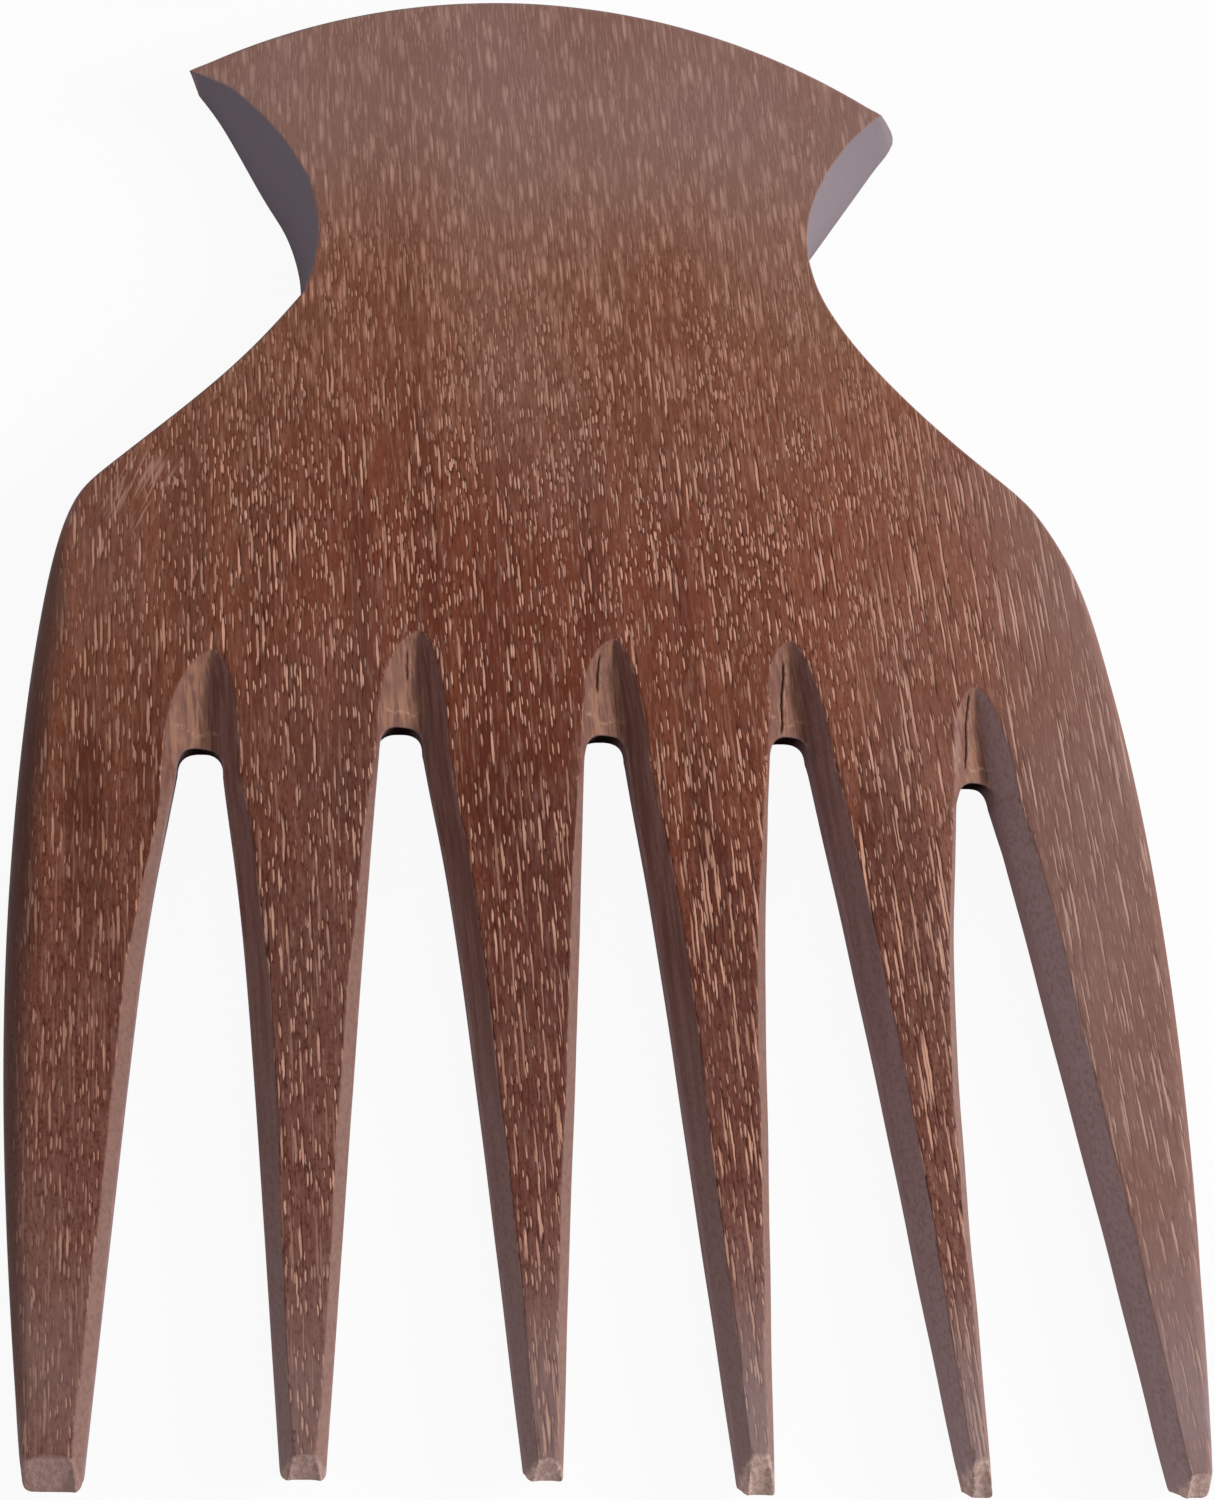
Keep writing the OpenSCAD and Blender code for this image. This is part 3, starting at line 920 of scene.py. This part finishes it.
def make_piece(name, part, normals, material):
    """One region of the board as a mesh of its own."""
    skin = [faces[k] for k in part]
    caps = cap_faces(name)
    used = np.unique(np.concatenate(skin + caps))
    renumber = {int(old): new for new, old in enumerate(used)}
    mesh = bpy.data.meshes.new(name + "_wood")
    mesh.from_pydata(points[used] * MM, [], [[renumber[k] for k in face] for face in skin + caps])
    mesh.polygons.foreach_set("use_smooth", [True] * len(mesh.polygons))
    corner_normals = []
    for polygon, face in zip(mesh.polygons, skin + caps):
        own = polygon.index < len(skin)
        corner_normals += [normals[k] if own else polygon.normal for k in face]
    mesh.normals_split_custom_set(corner_normals)
    for share in SHARE_NAMES:
        layer = mesh.attributes.new(share, "FLOAT", "POINT")
        layer.data.foreach_set("value", levels[share][used])
    mesh.materials.append(material)
    piece = bpy.data.objects.new(name + "_wood", mesh)
    bpy.context.scene.collection.objects.link(piece)
    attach(piece, "root")
    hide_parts(name)


# Wood. Colours are written as they look on a screen, from 0 to 255.
def screen(red, green, blue):
    levels = [level / 255 for level in (red, green, blue)]
    return tuple(l / 12.92 if l < 0.04045 else ((l + 0.055) / 1.055) ** 2.4 for l in levels) + (1,)


WOOD_RED = screen(123, 64, 44)
WOOD_DARK = screen(94, 44, 29)
WOOD_LIGHT = screen(146, 88, 67)
WOOD_DEEP = screen(80, 34, 20)
WOOD_WARM = screen(132, 88, 67)
# Painted sheen: the greyer colour the face takes where the sheen lies
WOOD_SHEEN = screen(137, 103, 94)
WOOD_MAUVE = screen(112, 68, 60)
PORE_PALE = screen(217, 162, 138)
# Painted sheen: the greyer colour the pores take under it
PORE_SHEEN = screen(190, 156, 143)
PORE_SHADE = screen(56, 24, 16)
CUT_MAUVE = screen(140, 104, 99)
CUT_BROWN = screen(112, 76, 69)
CUT_TAN = screen(163, 119, 97)
# Painted highlight of the chamfers that face the light
CUT_LIT_PINK = screen(156, 120, 108)
SCRATCH_PALE = screen(182, 142, 126)
# Painted shade of the rounded left edges
LEFT_EDGE_SHADE = screen(84, 64, 62)
# Painted sheen: its mauve grey towards the tips
TIP_SHEEN_MAUVE = screen(146, 121, 119)
END_PALE = screen(206, 176, 166)
END_DARK = screen(176, 146, 136)
# Painted grazing sheen: the pale grey of the walls and of the cuts on the right
WALL_SHEEN_GREY = screen(170, 144, 146)
# Painted sheen on the hollows' walls, and painted shade on the left one
HOLLOW_SHEEN_GREY = screen(142, 130, 136)
HOLLOW_SHADE = screen(128, 117, 126)
CRACK_DARK = screen(34, 20, 17)
# Painted shade of the slot ends' walls
ROOT_SHADE = screen(34, 22, 20)
BURR_PALE = screen(190, 150, 130)

# Depth of the bump, and how much the wood shines
BUMP_D = 0.2
SHINE = 0.08

# A patch of pale scratches on the left shoulder, and how far they lean
SCRATCH_PLACE = (-49.5, 22.0)
SCRATCH_LEAN = 25.0

# The grain fans out: its lines meet far to the left of the board
FAN_FROM_X = -84.0
FAN_RATE = 0.00154


class Shader:
    """Short calls for building a node tree. Any value may be a number or a node's output."""

    def __init__(self, owner):
        owner.use_nodes = True
        self.tree = owner.node_tree
        self.tree.nodes.clear()

    def node(self, kind, inputs=(), output=0, **settings):
        """A new node's output, or all its outputs where output is None."""
        made = self.tree.nodes.new(kind)
        for name, value in settings.items():
            setattr(made, name, value)
        for name, value in dict(inputs).items():
            if isinstance(value, bpy.types.NodeSocket):
                self.tree.links.new(value, made.inputs[name])
            else:
                made.inputs[name].default_value = value
        return made.outputs if output is None or not made.outputs else made.outputs[output]

    def math(self, operation, a, b=0, c=0, clamp=False):
        return self.node("ShaderNodeMath", {0: a, 1: b, 2: c}, operation=operation, use_clamp=clamp)

    def chain(self, operation, values):
        made = values[0]
        for value in values[1:]:
            made = self.math(operation, made, value)
        return made

    def add(self, *values):
        return self.chain("ADD", values)

    def multiply(self, *values):
        return self.chain("MULTIPLY", values)

    def most(self, *values):
        return self.chain("MAXIMUM", values)

    def ramp(self, value, start, end, low=0, high=1):
        """A smooth step from low to high as the value goes from start to end."""
        inputs = {0: value, 1: start, 2: end, 3: low, 4: high}
        return self.node("ShaderNodeMapRange", inputs, interpolation_type="SMOOTHSTEP")

    def mix(self, share, a, b):
        return self.node("ShaderNodeMix", {0: share, 6: a, 7: b}, output=2, data_type="RGBA")

    def attribute(self, name):
        return self.node("ShaderNodeAttribute", output=2, attribute_name=name)

    def vector(self, x, y, z):
        return self.node("ShaderNodeCombineXYZ", {0: x, 1: y, 2: z})

    def stretched(self, across, along, across_rate, along_rate, seed, detail=2, rough=0.5):
        """Noise with its own rate across the grain and along it, per millimetre."""
        x, y = self.multiply(across, across_rate), self.multiply(along, along_rate)
        place = self.vector(x, y, seed)
        inputs = {"Vector": place, "Scale": 1, "Detail": detail, "Roughness": rough}
        return self.node("ShaderNodeTexNoise", inputs)


def grain_space(s):
    """Place across the grain, along it and through the board, and the plain place, all in mm."""
    place = s.node("ShaderNodeTexCoord", output=3)
    scaled = s.node("ShaderNodeVectorMath", {0: place, 3: 1 / MM}, operation="SCALE")
    x, y, z = s.node("ShaderNodeSeparateXYZ", {0: scaled}, None)
    spread = s.math("EXPONENT", s.multiply(y, FAN_RATE))
    fanned = s.multiply(s.add(x, -FAN_FROM_X), spread)
    return s.add(fanned, s.multiply(z, 0.12)), x, y, z


def pore_layer(s, across, along, width, length, seed, size, presence, full=0.6):
    """Pale dashes along the grain, at most one to a cell, with wavering sides and uneven fill."""
    waver = s.stretched(across, along, 0.9, 0.4, seed, 3, 0.6)
    shifted = s.add(across, s.math("MULTIPLY_ADD", waver, 0.32, seed * 7.3))
    cell_x = s.multiply(shifted, 1 / width)
    cell = s.vector(cell_x, s.math("MULTIPLY_ADD", along, 1 / length, seed * 3.7), 0)
    inputs = {"Vector": cell, "Scale": 1, "Exponent": 2.6}
    kind = {"voronoi_dimensions": "2D", "distance": "MINKOWSKI"}
    cells = s.node("ShaderNodeTexVoronoi", inputs, None, **kind)
    picks = s.node("ShaderNodeSeparateColor", {0: cells["Color"]}, None)
    present = s.math("LESS_THAN", picks[0], presence)
    own_size = s.math("MULTIPLY_ADD", picks[1], 0.7 * size, 0.55 * size)
    relative = s.math("DIVIDE", cells["Distance"], own_size)
    fill = s.math("MULTIPLY_ADD", picks[2], 0.45, 0.65)
    body = s.multiply(s.ramp(relative, 1.05, full), present, fill)
    centre_x = s.node("ShaderNodeSeparateXYZ", {0: cells["Position"]}, None)[0]
    right = s.ramp(s.math("SUBTRACT", cell_x, centre_x), 0, 0.1)
    return body, s.multiply(s.ramp(relative, 2, 1.1), present, right)


def pores(s, across, x, y):
    """Pores and their shaded sides: short and dense in the palm, long beside it and on the tines."""
    layers = [
        pore_layer(s, across, y, 0.42, 1.5, 1, 0.3, 0.5),
        pore_layer(s, across, y, 0.42, 2.9, 2, 0.23, 0.8),
        pore_layer(s, across, y, 0.75, 9.5, 3, 0.18, 0.65),
        pore_layer(s, across, y, 0.62, 17, 4, 0.2, 0.85),
    ]
    patches = s.ramp(s.stretched(across, y, 0.16, 0.09, 8), 0.4, 0.62)
    clusters = s.ramp(s.stretched(across, y, 0.34, 0.13, 12), 0.36, 0.54, 0.25, 1)
    in_palm = s.multiply(s.ramp(y, 0, 20), s.ramp(x, 40, 14))
    lower = s.multiply(s.ramp(y, 6, -14), s.ramp(x, -26, 14, 0.3, 1))
    lined = s.most(lower, s.ramp(x, 14, 34))
    short = s.ramp(x, 30, 44, s.ramp(lined, 0, 1, 1, 0.8), 0.4)
    amounts = [
        s.multiply(in_palm, patches),
        s.multiply(short, s.most(clusters, s.multiply(lower, 0.6))),
        s.ramp(patches, 0, 1, 1, 0.6),
        s.ramp(lined, 0, 1, 0.1, 1),
    ]
    body = s.most(*[s.multiply(layer[0], amount) for layer, amount in zip(layers, amounts)])
    shade = s.most(*[s.multiply(layer[1], amount) for layer, amount in zip(layers, amounts)])
    return body, shade


def scratches(s, x, y):
    """Share of the pale scratches on the left shoulder."""
    over, up = s.add(x, -SCRATCH_PLACE[0]), s.add(y, -SCRATCH_PLACE[1])
    lean = math.radians(SCRATCH_LEAN)
    aside = s.add(s.multiply(over, math.cos(lean)), s.multiply(up, -math.sin(lean)))
    along = s.add(s.multiply(over, math.sin(lean)), s.multiply(up, math.cos(lean)))
    lines = s.ramp(s.stretched(aside, along, 2.6, 0.16, 11), 0.5, 0.62, 0, 0.6)
    in_width = s.ramp(s.math("ABSOLUTE", aside), 3.2, 1.4)
    return s.multiply(lines, in_width, s.ramp(s.math("ABSOLUTE", along), 5, 2.5))


def wood_material():
    material = bpy.data.materials.new("open_pored_wood")
    s = Shader(material)
    across, x, y, z = grain_space(s)
    attributes = [s.attribute(name) for name in SHARE_NAMES]
    facet, notch, righted, turned, rim, tip, wall, hollow, root, crack, burr = attributes

    # Broad changes: a painted sheen, paler and greyer towards the crown, the right side and the tips,
    # with a little random unevenness
    broad = s.stretched(x, y, 0.05, 0.03, 4)
    sheen_to_top = s.ramp(y, 42, 68, 0, 0.95)
    sheen_to_right = s.ramp(x, 16, 54, 0, 0.85)
    sheen_to_tips = s.multiply(s.ramp(y, -42, -66), s.ramp(x, -50, 20, 0.45, 1))
    uneven = s.ramp(broad, 0.3, 0.7, -0.2, 0.2)
    sheen_veil = s.math("ADD", s.most(sheen_to_top, sheen_to_right, sheen_to_tips), uneven, clamp=True)
    ribbons = s.stretched(across, y, 0.3, 0.02, 1, 3, 0.6)
    fibres = s.stretched(across, y, 3.4, 0.34, s.multiply(z, 0.6), 3, 0.6)
    speckle = s.stretched(across, y, 3.6, 1.7, s.multiply(z, 0.9), 2, 0.6)
    face = s.mix(s.ramp(ribbons, 0.3, 0.7), WOOD_DARK, WOOD_RED)
    streaks = s.ramp(s.stretched(across, y, 0.22, 0.05, 5), 0.38, 0.6, 0.1, 0.8)
    deep = s.multiply(s.ramp(y, 14, -12), s.ramp(y, -52, -24), streaks)
    face = s.mix(s.ramp(x, -12, 34, 0, 0.6), face, WOOD_LIGHT)
    face = s.mix(s.ramp(x, -24, -46, 0, 0.35), face, WOOD_WARM)
    face = s.mix(deep, face, WOOD_DEEP)
    warm = s.multiply(s.ramp(y, 14, 50), s.ramp(broad, 0.3, 0.7, 0.4, 1))
    face = s.mix(warm, face, WOOD_WARM)
    face = s.mix(s.ramp(y, 0, -45, 0, 0.75), face, WOOD_MAUVE)
    # Painted sheen: the face greys towards the crown and the right side, and turns mauve grey at the
    # tips
    face = s.mix(sheen_veil, face, s.mix(sheen_to_tips, WOOD_SHEEN, TIP_SHEEN_MAUVE))
    grain = s.multiply(
        s.ramp(speckle, 0.55, 0.3, 0, 0.4),
        s.ramp(sheen_veil, 0, 0.8, 1, 0.15),
        s.ramp(y, 10, -15, 1, 2),
    )
    face = s.mix(grain, face, s.mix(s.ramp(y, 10, -15), WOOD_DARK, WOOD_DEEP))
    face = s.mix(s.ramp(fibres, 0.48, 0.8, 0, 0.25), face, PORE_SHEEN)

    # Pores, clear on flat wood and blurred towards the crown
    clear = s.multiply(
        s.math("SUBTRACT", 1, s.most(wall, hollow, tip, s.multiply(notch, 0.9)), clamp=True),
        s.ramp(facet, 0, 1, 1, 0.15),
        s.ramp(rim, 0.15, 0.5, 1, 0.1),
    )
    soft = s.ramp(s.stretched(across, y, 1.5, 0.2, 6, 2, 0.6), 0.5, 0.72, 0, 0.6)
    blurred = pore_layer(s, across, y, 0.95, 4.2, 5, 0.34, 0.7, 0.2)[0]
    soft = s.multiply(s.most(soft, blurred), clear, s.ramp(y, 18, 48, 0.1, 0.5))
    sharp = s.multiply(
        clear,
        s.ramp(x, -38, -56, 1, 0.6),
        s.ramp(x, 26, 54, 1, 0.9),
        s.ramp(y, 58, 18, 0.3, 1),
    )
    body, shade = [s.multiply(part, sharp) for part in pores(s, across, x, y)]
    # Under the painted sheen the pores grey and their shaded sides fade
    pore_colour = s.mix(sheen_veil, PORE_PALE, PORE_SHEEN)
    face = s.mix(soft, face, pore_colour)
    face = s.mix(s.multiply(shade, s.ramp(sheen_veil, 0, 1, 0.95, 0.35)), face, PORE_SHADE)
    face = s.mix(body, face, pore_colour)
    face = s.mix(scratches(s, x, y), face, SCRATCH_PALE)
    # Painted shade on the rounded left edges
    face = s.mix(s.multiply(turned, 0.8), face, LEFT_EDGE_SHADE)

    # Cut surfaces are smoother and greyer, the greyness partly a painted sheen; the notches fibrous,
    # the ends rough
    marks = s.stretched(across, y, 1.6, 0.06, s.multiply(z, 1.1), 3, 0.6)
    cut = s.mix(s.ramp(marks, 0.35, 0.65), CUT_BROWN, CUT_MAUVE)
    # Painted sheen: the cut surfaces turn mauve grey towards the tips
    cut = s.mix(s.ramp(y, -15, -60), cut, TIP_SHEEN_MAUVE)
    # Painted sheen: the cut surfaces grey towards the right
    cut = s.mix(s.ramp(x, 10, 46, 0, 1), cut, WALL_SHEEN_GREY)
    # Painted highlight: the chamfers that face the light turn a paler pink
    cut = s.mix(s.multiply(righted, 0.8), cut, CUT_LIT_PINK)
    cut = s.mix(s.ramp(speckle, 0.6, 0.3, 0, 0.35), cut, CUT_BROWN)
    stains = s.ramp(s.stretched(across, y, 0.9, 0.25, 7), 0.42, 0.62, 0, 0.55)
    # Fibres and stains of the notch, laid on its lit left facet only
    lit_facet_tan = s.mix(s.ramp(fibres, 0.3, 0.6), CUT_BROWN, CUT_TAN)
    lit_facet_tan = s.mix(stains, lit_facet_tan, CUT_BROWN)
    grit = s.stretched(x, y, 1.9, 1.5, s.multiply(z, 1.5), 3, 0.6)
    ends = s.mix(s.ramp(grit, 0.38, 0.62), END_DARK, END_PALE)
    ends = s.mix(s.ramp(x, 0, -50, 0, 0.6), ends, CUT_MAUVE)
    arris = s.ramp(s.multiply(facet, s.math("SUBTRACT", 1, facet)), 0.12, 0.25)
    worn = s.multiply(arris, s.ramp(s.stretched(across, y, 3, 0.2, 9), 0.5, 0.65, 0, 0.4))
    colour = s.mix(s.multiply(facet, 0.9), face, cut)
    colour = s.mix(worn, colour, PORE_PALE)
    # Painted light: the lit left facet of each notch is lighter tan, the shaded right facet keeps the
    # darker cut colour
    colour = s.mix(s.multiply(notch, 0.9), colour, lit_facet_tan)
    # The walls take the pale grey of a painted grazing sheen
    colour = s.mix(wall, colour, s.mix(s.ramp(marks, 0.3, 0.7, 0.5, 1), cut, WALL_SHEEN_GREY))
    # Painted shade: the slot ends' walls that face away from the light turn nearly black
    colour = s.mix(s.multiply(root, wall), colour, ROOT_SHADE)
    colour = s.mix(tip, colour, ends)
    # Painted light on the hollows' walls: the grey of a grazing sheen, darker with painted shade on
    # the left
    colour = s.mix(hollow, colour, s.mix(s.ramp(x, 0, -20), HOLLOW_SHEEN_GREY, HOLLOW_SHADE))
    torn = s.ramp(s.stretched(x, y, 3, 2.2, 2), 0.4, 0.6)
    colour = s.mix(s.multiply(burr, torn, 0.6), colour, BURR_PALE)
    colour = s.mix(crack, colour, CRACK_DARK)

    # Fibres, sunken pores and rough ends. The raw wood shines a little, and its walls not at all.
    height = s.add(s.multiply(fibres, 0.35), s.multiply(body, -0.6), s.multiply(grit, tip, 1.6))
    bump = s.node("ShaderNodeBump", {"Strength": 0.5, "Distance": BUMP_D * MM, "Height": height})
    inputs = {
        "Base Color": colour,
        "Roughness": s.ramp(fibres, 0.3, 0.7, 0.5, 0.68),
        "Specular IOR Level": s.ramp(s.most(root, wall), 0, 0.6, SHINE, 0),
        "Normal": bump,
    }
    shader = s.node("ShaderNodeBsdfPrincipled", inputs)
    s.node("ShaderNodeOutputMaterial", {"Surface": shader})
    return material


# The board in its eight regions
wood = wood_material()
normals = surface_normals()
for name, part in ordered(parted()).items():
    make_piece(name, part, normals, wood)


# Floor, light and camera
CAMERA_PLACE = (-38.14, -37.66, 283.02)
CAMERA_AIM = (-2.34, -2.08, 8.5)
CAMERA_ROLL = 1.508
LENS = 67.2
SENSOR = 36.0
FLOOR_SIZE = 1600.0
FLOOR_DROP = 0.02
FLOOR_GREY = (0.8, 0.8, 0.8, 1)
FLOOR_SEEN_WHITE = 0.93
WHITE = (1, 1, 1, 1)
AMBIENT = 0.45
KEY_SIDE = (0.8, 0.14, 0.58)
KEY_DISTANCE = 700
KEY_SIZE = 300
KEY_POWER = 3.5


def background(s):
    """1 where the camera sees the white background, also in a reflection."""
    path = s.node("ShaderNodeLightPath", output=None)
    seen = s.add(path["Is Camera Ray"], path["Is Glossy Ray"])
    return s.math("ADD", seen, path["Is Transmission Ray"], clamp=True)


def make_floor():
    mesh = bpy.data.meshes.new("floor")
    half = FLOOR_SIZE / 2
    corners = [(-half, -half, 0), (half, -half, 0), (half, half, 0), (-half, half, 0)]
    mesh.from_pydata([Vector(c) * MM for c in corners], [], [(0, 1, 2, 3)])
    material = bpy.data.materials.new("pale_floor")
    s = Shader(material)
    plain = s.node("ShaderNodeBsdfDiffuse", {"Color": FLOOR_GREY})
    white = s.node("ShaderNodeEmission", {"Color": WHITE, "Strength": 1.0})
    seen = s.multiply(background(s), FLOOR_SEEN_WHITE)
    surface = s.node("ShaderNodeMixShader", {0: seen, 1: plain, 2: white})
    s.node("ShaderNodeOutputMaterial", {"Surface": surface})
    mesh.materials.append(material)
    floor = bpy.data.objects.new("floor", mesh)
    bpy.context.scene.collection.objects.link(floor)
    floor.location.z = -FLOOR_DROP * MM


def make_key():
    lamp = bpy.data.lights.new("key", "AREA")
    lamp.shape = "DISK"
    lamp.size = KEY_SIZE * MM
    lamp.energy = KEY_POWER
    holder = bpy.data.objects.new("key", lamp)
    away = Vector(KEY_SIDE).normalized()
    holder.location = away * KEY_DISTANCE * MM
    holder.rotation_euler = away.to_track_quat("Z", "Y").to_euler()
    bpy.context.scene.collection.objects.link(holder)


def make_world():
    world = bpy.data.worlds.new("studio")
    s = Shader(world)
    plain = s.node("ShaderNodeBackground", {"Color": WHITE, "Strength": AMBIENT})
    white = s.node("ShaderNodeBackground", {"Color": WHITE, "Strength": 1.0})
    surface = s.node("ShaderNodeMixShader", {0: background(s), 1: plain, 2: white})
    s.node("ShaderNodeOutputWorld", {"Surface": surface})
    bpy.context.scene.world = world


def make_camera():
    lens = bpy.data.cameras.new("camera")
    lens.lens = LENS
    lens.sensor_width = SENSOR
    lens.clip_start = 0.01
    camera = bpy.data.objects.new("camera", lens)
    place, aim = Vector(CAMERA_PLACE) * MM, Vector(CAMERA_AIM) * MM
    back = (place - aim).normalized()
    right = Vector((0, 1, 0)).cross(back).normalized()
    up = back.cross(right)
    roll = math.radians(CAMERA_ROLL)
    rolled = right * math.cos(roll) + up * math.sin(roll)
    camera.rotation_mode = "QUATERNION"
    axes = [rolled, back.cross(rolled), back]
    camera.rotation_quaternion = Matrix(axes).transposed().to_quaternion()
    camera.location = place
    bpy.context.scene.collection.objects.link(camera)
    bpy.context.scene.camera = camera


make_floor()
make_world()
make_key()
make_camera()
bpy.context.scene.view_settings.view_transform = "Standard"
